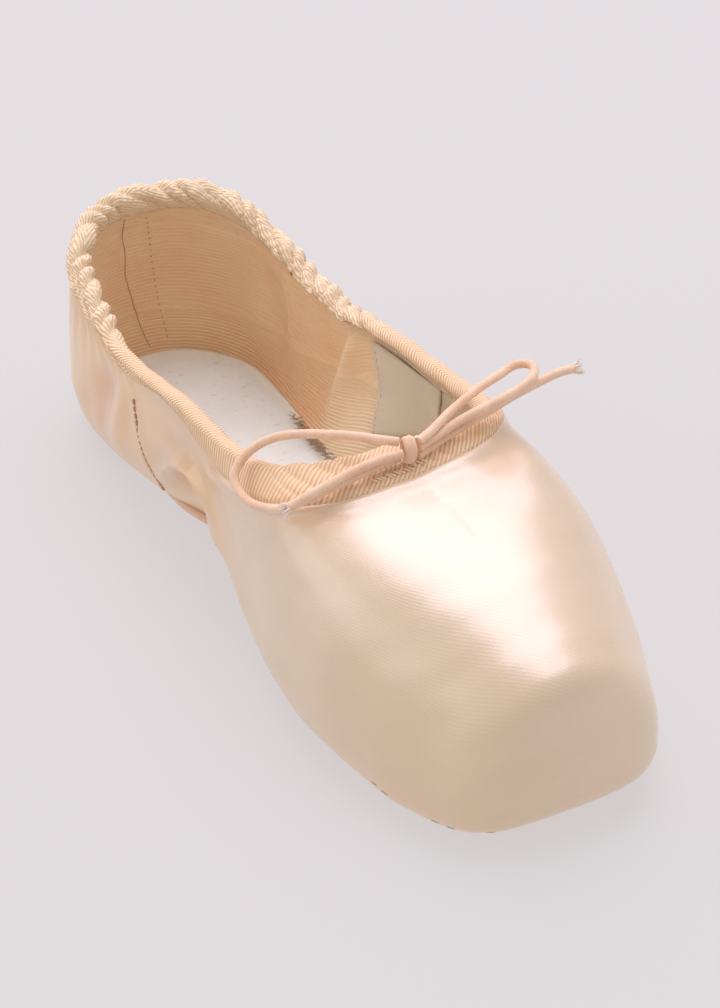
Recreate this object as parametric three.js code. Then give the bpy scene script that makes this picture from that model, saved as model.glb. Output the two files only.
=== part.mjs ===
import * as THREE from 'three';

// A pointe shoe standing empty on its sole, in millimetres: toe towards -Y, heel towards +Y, +Z up.

// Overall sizes
const shoeLength = 232;
const ballWidth = 80;
const instepHeight = 58;
const heelHeight = 60;
const bellyHeight = 17;
const featherInset = 9;
const archRise = 5;
const toeSpring = 3.5;

// Thicknesses, seams and clearances
const soleThickness = 2.3;
const upperWall = 2;
const lastingMargin = 12;
const insoleThickness = 2;
const bindingThickness = 1.1;
const bindingWidth = 12.5;
const clearance = 0.3;
const insoleInset = 2.2;

// Toe and heel rounding
const toeRound = 12.5;
const toeSquareness = 3;
const heelRound = 32;
const heelSquareness = 2.15;
const platformEdge = 8.5;
const heelLean = 24;
const platformSquareness = 3.4;
const edgeSquareness = 2.2;

// Outsole
const soleInset = 3;
const soleToeSetback = 12;
const toeSpine = 26;
const heelSpine = 34;

// Drawstring
const cordDiameter = 2.2;
const cordSides = 8;
const cordStep = 3.4;
const knotSize = { across: 3.6, front: 5.2, tall: 6.6 };
const knotPlace = [-2.5, -43.4, 63.9];

// The bow's strands, chosen point by point, from the knot outwards and back.
const strands = {
  loop_left: [
    [-4.6, -42.5, 66.2], [-9.0, -39.0, 66.5], [-14.0, -34.6, 66.6], [-19.8, -29.5, 66.0], [-24.9, -24.2, 64.3],
    [-29.7, -20.5, 61.3], [-33.9, -19.5, 57.9], [-36.7, -20.8, 54.6], [-37.2, -24.3, 52.6], [-36.8, -30.0, 52.6],
    [-35.3, -35.9, 54.2], [-32.3, -40.3, 56.2], [-29.2, -42.2, 58.1], [-25.3, -43.3, 59.7], [-20.1, -43.8, 61.0],
    [-14.3, -43.7, 61.8], [-9.0, -43.0, 62.0], [-4.7, -42.4, 61.8],
  ],
  end_left: [
    [-4.9, -44.4, 64.2], [-11.4, -44.5, 64.4], [-18.2, -44.8, 63.7], [-26.3, -45.2, 62.2], [-30.3, -44.9, 60.9],
    [-35.2, -44.6, 59.3],
  ],
  loop_right: [
    [-0.3, -44.0, 65.8], [4.6, -41.9, 66.2], [10.8, -38.3, 66.6], [17.3, -35.2, 67.0], [24.4, -32.4, 67.5],
    [30.2, -30.8, 68.0], [35.5, -29.5, 68.0], [37.5, -30.8, 68.0], [36.6, -34.7, 68.0], [33.4, -37.1, 67.7],
    [29.2, -38.3, 67.2], [23.2, -39.1, 66.4], [14.5, -40.0, 65.4], [6.9, -41.6, 64.4], [-0.2, -43.8, 63.9],
  ],
  end_right: [
    [-0.3, -43.5, 61.6], [7.1, -41.1, 62.1], [15.1, -39.1, 62.7], [23.0, -37.2, 63.3], [31.1, -35.2, 63.9],
    [38.9, -33.9, 64.5], [45.5, -33.4, 65.0], [48.7, -33.9, 65.0],
  ],
};

// Where the sole leaves the floor, as shares of the length from the toe
const floorLine = { toe: 0.2, waistFront: 0.4, waistBack: 0.74 };

// Cross-sections from the toe (0) to the heel (1). half: share of half the ball width;
// crown: height of the closed shape, share of the instep; belly: height of the widest line,
// share of bellyHeight; tuck: how far the sole's edge lies inside the widest line, share of
// featherInset; power: squareness of the section over the widest line; under: squareness below it.
const sections = [
  { at: 0.0, half: 0.58, crown: 0.64, belly: 0.47, tuck: 0.45, power: 2.1, under: 2.2 },
  { at: 0.12, half: 0.86, crown: 0.86, belly: 0.74, tuck: 0.72, power: 2.3, under: 2.2 },
  { at: 0.3, half: 1.0, crown: 1.0, belly: 1.0, tuck: 1.0, power: 3.6, under: 2.2 },
  { at: 0.45, half: 0.86, crown: 1.1, belly: 1.12, tuck: 1.2, power: 3.8, under: 1.6 },
  { at: 0.62, half: 0.785, crown: 1.2, belly: 1.72, tuck: 1.4, power: 2.9, under: 1.1 },
  { at: 0.8, half: 0.79, crown: 1.25, belly: 1.28, tuck: 0.92, power: 2.6, under: 1.8 },
  { at: 1.0, half: 0.69, crown: 1.25, belly: 1.12, tuck: 0.78, power: 2.6, under: 2.2 },
];

// Height of the topline behind the throat, share of the heel height; the throat itself lies on the crown.
const throatAt = 0.346;
const topline = [
  { at: 0.45, height: 0.885 },
  { at: 0.6, height: 0.825 },
  { at: 0.75, height: 0.75 },
  { at: 0.9, height: 0.9 },
  { at: 1.0, height: 1.0 },
];

// Mesh density
const stationsPerSide = 32;
const steps = { margin: 2, feather: 4, wall: 9, casing: 3 };
const ribSamples = 90;

const satin = new THREE.MeshStandardMaterial({ color: 0xf0c9a9, roughness: 0.38, metalness: 0 });
const tape = new THREE.MeshStandardMaterial({ color: 0xf0cfae, roughness: 0.8, metalness: 0 });
const soleLeather = new THREE.MeshStandardMaterial({ color: 0xd9a680, roughness: 0.7, metalness: 0 });
const insoleSuede = new THREE.MeshStandardMaterial({ color: 0xd8d3cb, roughness: 0.9, metalness: 0 });
const elasticCord = new THREE.MeshStandardMaterial({ color: 0xf0cdb0, roughness: 0.75, metalness: 0 });

// A natural cubic spline through the rows of a table.
function splineThrough(places, values) {
  const last = places.length - 1;
  const gaps = places.slice(1).map((place, i) => place - places[i]);
  const slopes = gaps.map((gap, i) => (values[i + 1] - values[i]) / gap);
  const pivots = [1];
  const sides = [0];
  for (let i = 1; i < last; i++) {
    const pivot = 2 * (gaps[i - 1] + gaps[i]) - (gaps[i - 1] * gaps[i - 1]) / (i > 1 ? pivots[i - 1] : Infinity);
    const carried = i > 1 ? (gaps[i - 1] / pivots[i - 1]) * sides[i - 1] : 0;
    pivots.push(pivot);
    sides.push(6 * (slopes[i] - slopes[i - 1]) - carried);
  }
  const bends = new Array(last + 1).fill(0);
  for (let i = last - 1; i > 0; i--) {
    bends[i] = (sides[i] - gaps[i] * bends[i + 1]) / pivots[i];
  }
  return (place) => {
    let i = 0;
    while (i < last - 1 && place > places[i + 1]) i++;
    const ahead = places[i + 1] - place;
    const behind = place - places[i];
    const gap = gaps[i];
    const cubic = (bends[i] * ahead ** 3 + bends[i + 1] * behind ** 3) / (6 * gap);
    const left = (values[i] / gap - (bends[i] * gap) / 6) * ahead;
    const right = (values[i + 1] / gap - (bends[i + 1] * gap) / 6) * behind;
    return cubic + left + right;
  };
}

function column(key, size) {
  return splineThrough(sections.map((row) => row.at), sections.map((row) => row[key] * size));
}

const clampShare = (value) => Math.min(1, Math.max(0, value));

// A quarter of a superellipse: 0 at the edge, 1 from one unit in.
const roundedRise = (share, squareness) => (1 - (1 - clampShare(share)) ** squareness) ** (1 / squareness);

const halfWidthAt = column('half', ballWidth / 2);
const crownAt = column('crown', instepHeight);
const bellyAt = column('belly', bellyHeight);
const tuckAt = column('tuck', featherInset);
const powerAt = column('power', 1);
const underAt = column('under', 1);

const alongFromToe = (y) => clampShare(y / shoeLength + 0.5);

// Height of the sole's underside: toe spring, flat ball, arch and flat heel.
function lift(share) {
  const spring = clampShare((floorLine.toe - share) / floorLine.toe) ** 2;
  const waist = clampShare((share - floorLine.waistFront) / (floorLine.waistBack - floorLine.waistFront));
  return toeSpring * spring + archRise * Math.sin(Math.PI * waist) ** 2;
}

function outlineHalfWidth(share) {
  const toe = roundedRise((share * shoeLength) / toeRound, toeSquareness);
  const heel = roundedRise(((1 - share) * shoeLength) / heelRound, heelSquareness);
  return halfWidthAt(share) * toe * heel;
}

// The height that the closed shape could rise over the widest line at a place along the shoe.
function fullRise(share) {
  const toe = roundedRise((share * shoeLength) / platformEdge, platformSquareness);
  const heel = roundedRise(((1 - share) * shoeLength) / heelLean, edgeSquareness);
  return (crownAt(share) - bellyAt(share)) * toe * heel;
}

const widestLevel = (share) => bellyAt(share) + lift(share);

function surfaceHeight(x, y) {
  const share = alongFromToe(y);
  const across = clampShare(Math.abs(x) / Math.max(outlineHalfWidth(share), 1e-6));
  const power = powerAt(share);
  return widestLevel(share) + fullRise(share) * (1 - across ** power) ** (1 / power);
}

const toplineHeight = splineThrough(
  [throatAt, ...topline.map((row) => row.at)],
  [crownAt(throatAt) + lift(throatAt), ...topline.map((row) => row.height * heelHeight)],
);

// Evenly spaced points along a polyline.
function spreadEvenly(points, count) {
  const travelled = [0];
  for (let i = 1; i < points.length; i++) {
    travelled.push(travelled[i - 1] + points[i].distanceTo(points[i - 1]));
  }
  const total = travelled[travelled.length - 1];
  const spread = [];
  let i = 0;
  for (let step = 0; step <= count; step++) {
    const wanted = (total * step) / count;
    while (i < points.length - 2 && travelled[i + 1] < wanted) i++;
    const span = Math.max(travelled[i + 1] - travelled[i], 1e-9);
    spread.push(points[i].clone().lerp(points[i + 1], clampShare((wanted - travelled[i]) / span)));
  }
  return spread;
}

const easedShares = (count) => Array.from({ length: count + 1 }, (_, i) => (1 - Math.cos((Math.PI * i) / count)) / 2);
const outlineSamples = 900;

// The widest line of the right half, from the toe's centre to the heel's.
function outlineHalf() {
  const points = easedShares(outlineSamples).map(
    (share) => new THREE.Vector2(outlineHalfWidth(share), (share - 0.5) * shoeLength),
  );
  return spreadEvenly(points, stationsPerSide);
}

// Where the heel's back rises to the topline, as a share of the length.
function heelTopShare() {
  let low = topline[topline.length - 2].at;
  let high = 1;
  for (let pass = 0; pass < 40; pass++) {
    const middle = (low + high) / 2;
    if (widestLevel(middle) + fullRise(middle) > toplineHeight(middle)) low = middle;
    else high = middle;
  }
  return low;
}

// The rim of the right half in plan, from the throat's centre to the heel's.
function rimHalf() {
  const backShare = heelTopShare();
  const shares = easedShares(outlineSamples).map((eased) => throatAt + (backShare - throatAt) * eased);
  const points = shares.map((share, i) => {
    const rise = clampShare((toplineHeight(share) - widestLevel(share)) / fullRise(share));
    const power = powerAt(share);
    const onCentre = i === 0 || i === shares.length - 1;
    const x = onCentre ? 0 : outlineHalfWidth(share) * (1 - rise ** power) ** (1 / power);
    return new THREE.Vector2(x, (share - 0.5) * shoeLength);
  });
  return spreadEvenly(points, stationsPerSide);
}

// Direction in plan from a place on the widest line towards the middle of the foot.
function inward(place) {
  const spineY = THREE.MathUtils.clamp(place.y, -shoeLength / 2 + toeSpine, shoeLength / 2 - heelSpine);
  return new THREE.Vector2(-place.x, spineY - place.y).normalize();
}

// Underside of the upper, where the sole is stuck on.
const bottomLevel = (share) => lift(share) + soleThickness + clearance;

// A place on the wall seen from above, from the outline (0) to the rim (1): straight at the toe and
// heel, and a steady share of the shoe's width along the sides, where the outline bends inwards.
function wallPlace(place, rimPlace, share) {
  const plan = place.clone().lerp(rimPlace, share);
  const fromEnd = Math.min(alongFromToe(place.y), 1 - alongFromToe(place.y));
  const side = clampShare((fromEnd - 0.06) / 0.08);
  const rimShare = Math.abs(rimPlace.x) / outlineHalfWidth(alongFromToe(rimPlace.y));
  const across = Math.sign(place.x) * (1 + (rimShare - 1) * share) * outlineHalfWidth(alongFromToe(plan.y));
  plan.x += (across - plan.x) * side * side * (3 - 2 * side);
  return plan;
}

// One rib of the upper's outside: under the sole's edge, round the feather line, up and over to the rim.
// Each stretch has its own number of steps.
function ribPoints(place, rimPlace) {
  const tuck = tuckAt(alongFromToe(place.y));
  const inwards = inward(place);
  const level = widestLevel(alongFromToe(place.y));
  const under = underAt(alongFromToe(place.y));
  const samples = Array.from({ length: ribSamples + 1 }, (_, i) => i / ribSamples);
  const margin = samples.map((share) => {
    const plan = place.clone().addScaledVector(inwards, tuck + lastingMargin * (1 - share));
    return new THREE.Vector3(plan.x, plan.y, bottomLevel(alongFromToe(plan.y)));
  });
  const feather = samples.map((share) => {
    const away = tuck * (1 - share) ** 2.5;
    const plan = place.clone().addScaledVector(inwards, away);
    const rise = (level - bottomLevel(alongFromToe(plan.y))) * roundedRise(away / tuck, under);
    return new THREE.Vector3(plan.x, plan.y, level - rise);
  });
  const wall = samples.map((share) => {
    const plan = wallPlace(place, rimPlace, share ** 3);
    return new THREE.Vector3(plan.x, plan.y, surfaceHeight(plan.x, plan.y));
  });
  const fine = spreadEvenly(wall, ribSamples * 2);
  const casingEdge = fine.length - 1 - Math.round(bindingWidth / fine[1].distanceTo(fine[0]));
  const stretches = [
    spreadEvenly(margin, steps.margin),
    spreadEvenly(feather, steps.feather),
    spreadEvenly(fine.slice(0, casingEdge + 1), steps.wall),
    spreadEvenly(fine.slice(casingEdge), steps.casing),
  ];
  return stretches.flatMap((stretch, i) => (i === 0 ? stretch : stretch.slice(1)));
}

// A full ring of ribs: the right half and its mirror image.
function ribRing() {
  const places = outlineHalf();
  const rims = rimHalf();
  const right = places.map((place, i) => ribPoints(place, rims[i]));
  const left = right
    .slice(1, -1)
    .reverse()
    .map((rib) => rib.map((point) => new THREE.Vector3(-point.x, point.y, point.z)));
  return [...right, ...left];
}

// Outward normals of the ring's surface.
function ringNormals(ring) {
  const count = ring.length;
  return ring.map((rib, i) =>
    rib.map((point, j) => {
      const around = ring[(i + 1) % count][j].clone().sub(ring[(i + count - 1) % count][j]);
      const up = rib[Math.min(j + 1, rib.length - 1)].clone().sub(rib[Math.max(j - 1, 0)]);
      return around.cross(up).normalize();
    }),
  );
}

const outside = ribRing();
const normals = ringNormals(outside);
const moved = (i, j, distance) => outside[i][j].clone().addScaledVector(normals[i][j], distance);

// Closed skin over rings of points: each ring is one closed section, or a row when the ends are capped.
function solidFromSections(rows, { closedAlong }) {
  const positions = rows.flat().flatMap((point) => [point.x, point.y, point.z]);
  const width = rows[0].length;
  const faces = [];
  const lastRow = closedAlong ? rows.length : rows.length - 1;
  for (let i = 0; i < lastRow; i++) {
    const next = (i + 1) % rows.length;
    for (let j = 0; j < width; j++) {
      const beside = (j + 1) % width;
      const corners = [i * width + j, next * width + j, next * width + beside, i * width + beside];
      faces.push(corners[0], corners[1], corners[2], corners[0], corners[2], corners[3]);
    }
  }
  if (!closedAlong) {
    for (let j = 1; j < width - 1; j++) {
      const end = (rows.length - 1) * width;
      faces.push(0, j, j + 1);
      faces.push(end, end + j + 1, end + j);
    }
  }
  const geometry = new THREE.BufferGeometry();
  geometry.setAttribute('position', new THREE.Float32BufferAttribute(positions, 3));
  geometry.setIndex(faces);
  geometry.computeVertexNormals();
  return geometry;
}

// The upper: satin, glue-stiffened cloth and lining as one wall, turned under at the sole.
function upperGeometry() {
  const rows = outside.map((rib, i) => {
    const outer = rib.map((_, j) => moved(i, j, 0));
    const inner = rib.map((_, j) => moved(i, j, -upperWall)).reverse();
    return [...outer, ...inner];
  });
  return solidFromSections(rows, { closedAlong: true });
}

// The casing tape: folded over the rim all the way round, a little apart from the wall.
function bindingGeometry() {
  const near = clearance;
  const far = clearance + bindingThickness;
  const rows = outside.map((rib, i) => {
    const top = rib.length - 1;
    const down = Array.from({ length: steps.casing + 1 }, (_, step) => top - step);
    const up = [...down].reverse();
    const count = outside.length;
    const alongRim = outside[(i + 1) % count][top].clone().sub(outside[(i + count - 1) % count][top]);
    const ahead = normals[i][top].clone().cross(alongRim).normalize();
    const over = (rise, out) => moved(i, top, out).addScaledVector(ahead, rise);
    return [
      ...up.map((j) => moved(i, j, far)),
      over(far, -upperWall * 0.15),
      over(far, -upperWall * 0.85),
      ...down.map((j) => moved(i, j, -upperWall - far)),
      ...up.map((j) => moved(i, j, -upperWall - near)),
      over(near, -upperWall - near),
      over(near, near),
      ...down.map((j) => moved(i, j, near)),
    ];
  });
  return solidFromSections(rows, { closedAlong: true });
}

// A plate that follows the sole's curve: outline at an inset from the widest line.
function plateGeometry(insetAt, undersideAt, thickness) {
  const places = outlineHalf();
  const rows = places.map((place) => {
    const plan = place.clone().addScaledVector(inward(place), insetAt(alongFromToe(place.y)));
    const x = Math.max(plan.x, 0);
    const z = undersideAt(alongFromToe(plan.y));
    return { x, y: plan.y, z };
  });
  const sectionsAcross = rows.slice(1, -1).map(({ x, y, z }) => [
    new THREE.Vector3(-x, y, z),
    new THREE.Vector3(x, y, z),
    new THREE.Vector3(x, y, z + thickness),
    new THREE.Vector3(-x, y, z + thickness),
  ]);
  return solidFromSections(sectionsAcross, { closedAlong: false });
}

// The outsole is shorter and narrower than the shoe, so the pleats show round its toe.
function outsoleGeometry() {
  const inset = (share) => {
    const toe = clampShare(1 - share / floorLine.toe);
    return tuckAt(share) + soleInset + soleToeSetback * toe * toe;
  };
  return plateGeometry(inset, lift, soleThickness);
}

function insoleGeometry() {
  const underside = (share) => bottomLevel(share) + upperWall + clearance;
  return plateGeometry((share) => tuckAt(share) + insoleInset, underside, insoleThickness);
}

// One strand of the drawstring as a round tube through its points.
function strandGeometry(points) {
  const path = new THREE.CatmullRomCurve3(points.map((point) => new THREE.Vector3(...point)));
  const section = new THREE.Shape();
  for (let i = 0; i < cordSides; i++) {
    const turn = (2 * Math.PI * i) / cordSides;
    const x = (cordDiameter / 2) * Math.cos(turn);
    const y = (cordDiameter / 2) * Math.sin(turn);
    if (i === 0) section.moveTo(x, y);
    else section.lineTo(x, y);
  }
  const stepCount = Math.round(path.getLength() / cordStep);
  return new THREE.ExtrudeGeometry(section, { steps: stepCount, extrudePath: path, bevelEnabled: false });
}

function knotGeometry() {
  const geometry = new THREE.SphereGeometry(0.5, 14, 10);
  geometry.scale(knotSize.across, knotSize.front, knotSize.tall);
  return geometry;
}

const shoe = new THREE.Group();

function addPiece(name, geometry, material) {
  const mesh = new THREE.Mesh(geometry, material);
  mesh.name = name;
  shoe.add(mesh);
  return mesh;
}

addPiece('upper', upperGeometry(), satin);
addPiece('binding', bindingGeometry(), tape);
addPiece('outsole', outsoleGeometry(), soleLeather);
addPiece('insole', insoleGeometry(), insoleSuede);
addPiece('knot', knotGeometry(), elasticCord).position.set(...knotPlace);
for (const [name, points] of Object.entries(strands)) {
  addPiece(name, strandGeometry(points), elasticCord);
}

export default shoe;
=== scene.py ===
import bpy
import bmesh
import math
import random
import numpy as np
from mathutils import Matrix, Vector, kdtree


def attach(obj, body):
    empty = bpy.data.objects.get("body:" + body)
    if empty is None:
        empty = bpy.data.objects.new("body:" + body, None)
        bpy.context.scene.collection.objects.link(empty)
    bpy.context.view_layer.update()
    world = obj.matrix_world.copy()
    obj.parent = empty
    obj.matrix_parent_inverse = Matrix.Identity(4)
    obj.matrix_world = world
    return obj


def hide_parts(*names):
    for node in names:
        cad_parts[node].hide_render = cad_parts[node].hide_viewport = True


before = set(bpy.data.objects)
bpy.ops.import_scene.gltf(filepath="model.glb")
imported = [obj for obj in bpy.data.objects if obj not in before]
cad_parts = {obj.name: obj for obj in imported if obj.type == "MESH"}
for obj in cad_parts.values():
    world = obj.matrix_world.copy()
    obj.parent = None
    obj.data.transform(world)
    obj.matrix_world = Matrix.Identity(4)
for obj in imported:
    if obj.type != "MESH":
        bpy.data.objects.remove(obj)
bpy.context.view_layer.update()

mm = 0.001
print("frame loaded")

# sizes of the shoe in millimetres, as the solids have them
shoe = {
    "length": 232, "ballWidth": 80, "instep": 58, "heel": 60, "belly": 17, "feather": 9,
    "archRise": 5, "toeSpring": 3.5, "sole": 2.3, "wall": 2, "margin": 12, "insole": 2,
    "tape": 1.1, "tapeWidth": 12.5, "gap": 0.3,
    "toeRound": 12.5, "toeSquare": 3.0, "heelRound": 32, "heelSquare": 2.15,
    "platformEdge": 8.5, "platformSquare": 3.4, "heelLean": 24, "edgeSquare": 2.2,
    "soleInset": 3, "soleSetback": 12, "toeSpine": 26, "heelSpine": 34, "throatAt": 0.346,
}
floorLine = {"toe": 0.2, "waistFront": 0.4, "waistBack": 0.74}

# sections from toe to heel: shares of half the ball width, the instep, the belly and the feather inset,
# then how square the satin is over its widest line, and under it
sections = {
    "at": [0.0, 0.12, 0.3, 0.45, 0.62, 0.8, 1.0],
    "half": [0.58, 0.86, 1.0, 0.86, 0.785, 0.79, 0.69],
    "crown": [0.64, 0.86, 1.0, 1.1, 1.2, 1.25, 1.25],
    "belly": [0.47, 0.74, 1.0, 1.12, 1.72, 1.28, 1.12],
    "tuck": [0.45, 0.72, 1.0, 1.2, 1.4, 0.92, 0.78],
    "power": [2.1, 2.3, 3.6, 3.8, 2.9, 2.6, 2.6],
    "under": [2.2, 2.2, 2.2, 1.6, 1.1, 1.8, 2.2],
}
topline = {"at": [0.45, 0.6, 0.75, 0.9, 1.0], "height": [0.885, 0.825, 0.75, 0.9, 1.0]}


def naturalSpline(places, values):
    places = np.array(places, float)
    values = np.array(values, float)
    gaps = np.diff(places)
    slopes = np.diff(values) / gaps
    count = len(places)
    system = np.eye(count)
    right = np.zeros(count)
    for i in range(1, count - 1):
        system[i, i - 1:i + 2] = gaps[i - 1], 2 * (gaps[i - 1] + gaps[i]), gaps[i]
        right[i] = 6 * (slopes[i] - slopes[i - 1])
    bends = np.linalg.solve(system, right)

    def read(place):
        i = np.clip(np.searchsorted(places, place) - 1, 0, count - 2)
        ahead = places[i + 1] - place
        behind = place - places[i]
        gap = gaps[i]
        cubic = (bends[i] * ahead ** 3 + bends[i + 1] * behind ** 3) / (6 * gap)
        left = (values[i] / gap - bends[i] * gap / 6) * ahead
        return cubic + left + (values[i + 1] / gap - bends[i + 1] * gap / 6) * behind
    return read


def column(key, size):
    return naturalSpline(sections["at"], np.array(sections[key]) * size)


halfWidthAt = column("half", shoe["ballWidth"] / 2)
crownAt = column("crown", shoe["instep"])
bellyAt = column("belly", shoe["belly"])
tuckAt = column("tuck", shoe["feather"])
powerAt = column("power", 1)
underAt = column("under", 1)


def smooth(low, high, value):
    t = np.clip((value - low) / (high - low), 0, 1)
    return t * t * (3 - 2 * t)


def roundedRise(share, square):
    return (1 - (1 - np.clip(share, 0, 1)) ** square) ** (1 / square)


def lift(share):
    spring = np.clip((floorLine["toe"] - share) / floorLine["toe"], 0, 1) ** 2
    waist = (share - floorLine["waistFront"]) / (floorLine["waistBack"] - floorLine["waistFront"])
    return shoe["toeSpring"] * spring + shoe["archRise"] * np.sin(math.pi * np.clip(waist, 0, 1)) ** 2


def outlineHalfWidth(share):
    toe = roundedRise(share * shoe["length"] / shoe["toeRound"], shoe["toeSquare"])
    heel = roundedRise((1 - share) * shoe["length"] / shoe["heelRound"], shoe["heelSquare"])
    return halfWidthAt(share) * toe * heel


def widestLevel(share):
    return bellyAt(share) + lift(share)


def fullRise(share):
    toe = roundedRise(share * shoe["length"] / shoe["platformEdge"], shoe["platformSquare"])
    heel = roundedRise((1 - share) * shoe["length"] / shoe["heelLean"], shoe["edgeSquare"])
    return (crownAt(share) - bellyAt(share)) * toe * heel


def shareOf(y):
    return np.clip(y / shoe["length"] + 0.5, 0, 1)


def surfaceHeight(x, y):
    share = shareOf(y)
    across = np.clip(np.abs(x) / np.maximum(outlineHalfWidth(share), 1e-6), 0, 1)
    power = powerAt(share)
    return widestLevel(share) + fullRise(share) * (1 - across ** power) ** (1 / power)


throatHeight = crownAt(shoe["throatAt"]) + lift(shoe["throatAt"])
toplineHeight = naturalSpline(
    [shoe["throatAt"]] + topline["at"],
    [throatHeight] + [height * shoe["heel"] for height in topline["height"]])


def bottomLevel(share):
    return lift(share) + shoe["sole"] + shoe["gap"]


# evenly spaced points along polylines, given as (line, point, axis)
def spreadEvenly(lines, count):
    steps = np.linalg.norm(np.diff(lines, axis=1), axis=2)
    travelled = np.concatenate([np.zeros((len(lines), 1)), np.cumsum(steps, axis=1)], axis=1)
    spread = np.empty((len(lines), count + 1, lines.shape[2]))
    for k, line in enumerate(lines):
        wanted = np.linspace(0, travelled[k, -1], count + 1)
        for axis in range(lines.shape[2]):
            spread[k, :, axis] = np.interp(wanted, travelled[k], line[:, axis])
    return spread


def outlineHalf(count):
    share = (1 - np.cos(np.linspace(0, math.pi, 1500))) / 2
    line = np.stack([outlineHalfWidth(share), (share - 0.5) * shoe["length"]], axis=1)
    return spreadEvenly(line[None], count)[0]


def rimHalf(count):
    low, high = topline["at"][-2], 1.0
    for _ in range(40):
        middle = (low + high) / 2
        if widestLevel(middle) + fullRise(middle) > toplineHeight(middle):
            low = middle
        else:
            high = middle
    share = shoe["throatAt"] + (low - shoe["throatAt"]) * (1 - np.cos(np.linspace(0, math.pi, 1500))) / 2
    rise = np.clip((toplineHeight(share) - widestLevel(share)) / fullRise(share), 0, 1)
    power = powerAt(share)
    x = outlineHalfWidth(share) * (1 - rise ** power) ** (1 / power)
    x[0] = x[-1] = 0
    return spreadEvenly(np.stack([x, (share - 0.5) * shoe["length"]], axis=1)[None], count)[0]


def inward(places):
    half = shoe["length"] / 2
    spineY = np.clip(places[:, 1], -half + shoe["toeSpine"], half - shoe["heelSpine"])
    toSpine = np.stack([-places[:, 0], spineY - places[:, 1]], axis=1)
    return toSpine / np.linalg.norm(toSpine, axis=1)[:, None]


# the wall seen from above, from the outline to the rim: straight at the toe and heel,
# and a steady share of the shoe's width along the sides, where the outline bends inwards
def wallPlaces(places, rims, share):
    plan = places[:, None, :] + (rims - places)[:, None, :] * share[None, :, None]
    along = shareOf(places[:, 1])
    side = smooth(0.06, 0.14, np.minimum(along, 1 - along))
    rimShare = np.abs(rims[:, 0]) / outlineHalfWidth(shareOf(rims[:, 1]))
    across = (1 + (rimShare - 1)[:, None] * share[None, :]) * outlineHalfWidth(shareOf(plan[..., 1]))
    plan[..., 0] += (across - plan[..., 0]) * side[:, None]
    return plan


# the outside of the upper as a ring of ribs: margin under the sole, feather edge, wall, casing band
class Ring:
    def __init__(self, stationsPerSide, steps, samples=160):
        places = outlineHalf(stationsPerSide)
        rims = rimHalf(stationsPerSide)
        share = np.linspace(0, 1, samples + 1)
        tuck = tuckAt(shareOf(places[:, 1]))[:, None]
        level = widestLevel(shareOf(places[:, 1]))[:, None]
        inwards = inward(places)[:, None, :]

        def stretch(away):
            plan = places[:, None, :] + inwards * away[..., None]
            return plan, bottomLevel(shareOf(plan[..., 1]))

        marginPlan, marginZ = stretch(tuck + shoe["margin"] * (1 - share)[None, :])
        away = tuck * (1 - share)[None, :] ** 2.5
        featherPlan, bottom = stretch(away)
        under = underAt(shareOf(places[:, 1]))[:, None]
        featherZ = level - (level - bottom) * roundedRise(away / tuck, under)
        wallPlan = wallPlaces(places, rims, share ** 3)
        wallZ = surfaceHeight(wallPlan[..., 0], wallPlan[..., 1])
        margin = np.concatenate([marginPlan, marginZ[..., None]], axis=2)
        feather = np.concatenate([featherPlan, featherZ[..., None]], axis=2)
        fine = spreadEvenly(np.concatenate([wallPlan, wallZ[..., None]], axis=2), 2 * samples)
        stepLength = np.linalg.norm(fine[:, 1] - fine[:, 0], axis=1)
        edge = fine.shape[1] - 1 - np.round(shoe["tapeWidth"] / stepLength).astype(int)
        ribs = [fine[k:k + 1] for k in range(len(fine))]
        lower = np.stack([spreadEvenly(rib[:, :end + 1], steps["wall"])[0] for rib, end in zip(ribs, edge)])
        upper = np.stack([spreadEvenly(rib[:, end:], steps["casing"])[0] for rib, end in zip(ribs, edge)])
        right = np.concatenate([
            spreadEvenly(margin, steps["margin"])[:, :-1],
            spreadEvenly(feather, steps["feather"])[:, :-1],
            lower[:, :-1], upper], axis=1)
        left = right[-2:0:-1] * np.array([-1, 1, 1])
        self.points = np.concatenate([right, left])
        self.columns = len(self.points)
        self.rows = self.points.shape[1]
        self.feather = steps["margin"] + steps["feather"]
        self.findNormals()
        rim = self.points[:, -1]
        hops = np.linalg.norm(np.roll(rim, -1, axis=0) - rim, axis=1)
        self.around = np.concatenate([[0], np.cumsum(hops)[:-1]])
        self.perimeter = hops.sum()
        # both are negative on one side: the far one from the heel, the near one from the toe
        self.fromHeel = self.around - self.perimeter / 2
        self.fromToe = np.where(self.fromHeel > 0, self.fromHeel - self.perimeter / 2, self.around)
        hops = np.linalg.norm(np.diff(self.points, axis=1), axis=2)
        travelled = np.concatenate([np.zeros((self.columns, 1)), np.cumsum(hops, axis=1)], axis=1)
        self.down = travelled[:, -1:] - travelled          # distance from the rim along each rib
        self.share = shareOf(self.points[..., 1])

    def findNormals(self):
        along = np.roll(self.points, -1, axis=0) - np.roll(self.points, 1, axis=0)
        up = np.gradient(self.points, axis=1)
        normals = np.cross(along, up)
        self.normals = normals / np.maximum(np.linalg.norm(normals, axis=2), 1e-9)[..., None]
        ahead = np.cross(self.normals[:, -1], along[:, -1])
        self.ahead = ahead / np.linalg.norm(ahead, axis=1)[:, None]


# a few seeded sine waves that read as soft noise, about -1 to 1
def softNoise(u, v, size, seed, waves=7):
    draw = np.random.default_rng(seed)
    total = np.zeros(np.broadcast(u, v).shape)
    for _ in range(waves):
        turn = draw.uniform(0, 2 * math.pi)
        pitch = draw.uniform(0.6, 1.6) * 2 * math.pi / size
        total += np.sin((u * math.cos(turn) + v * math.sin(turn)) * pitch + draw.uniform(0, 2 * math.pi))
    return total / math.sqrt(waves * 0.9)


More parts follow.
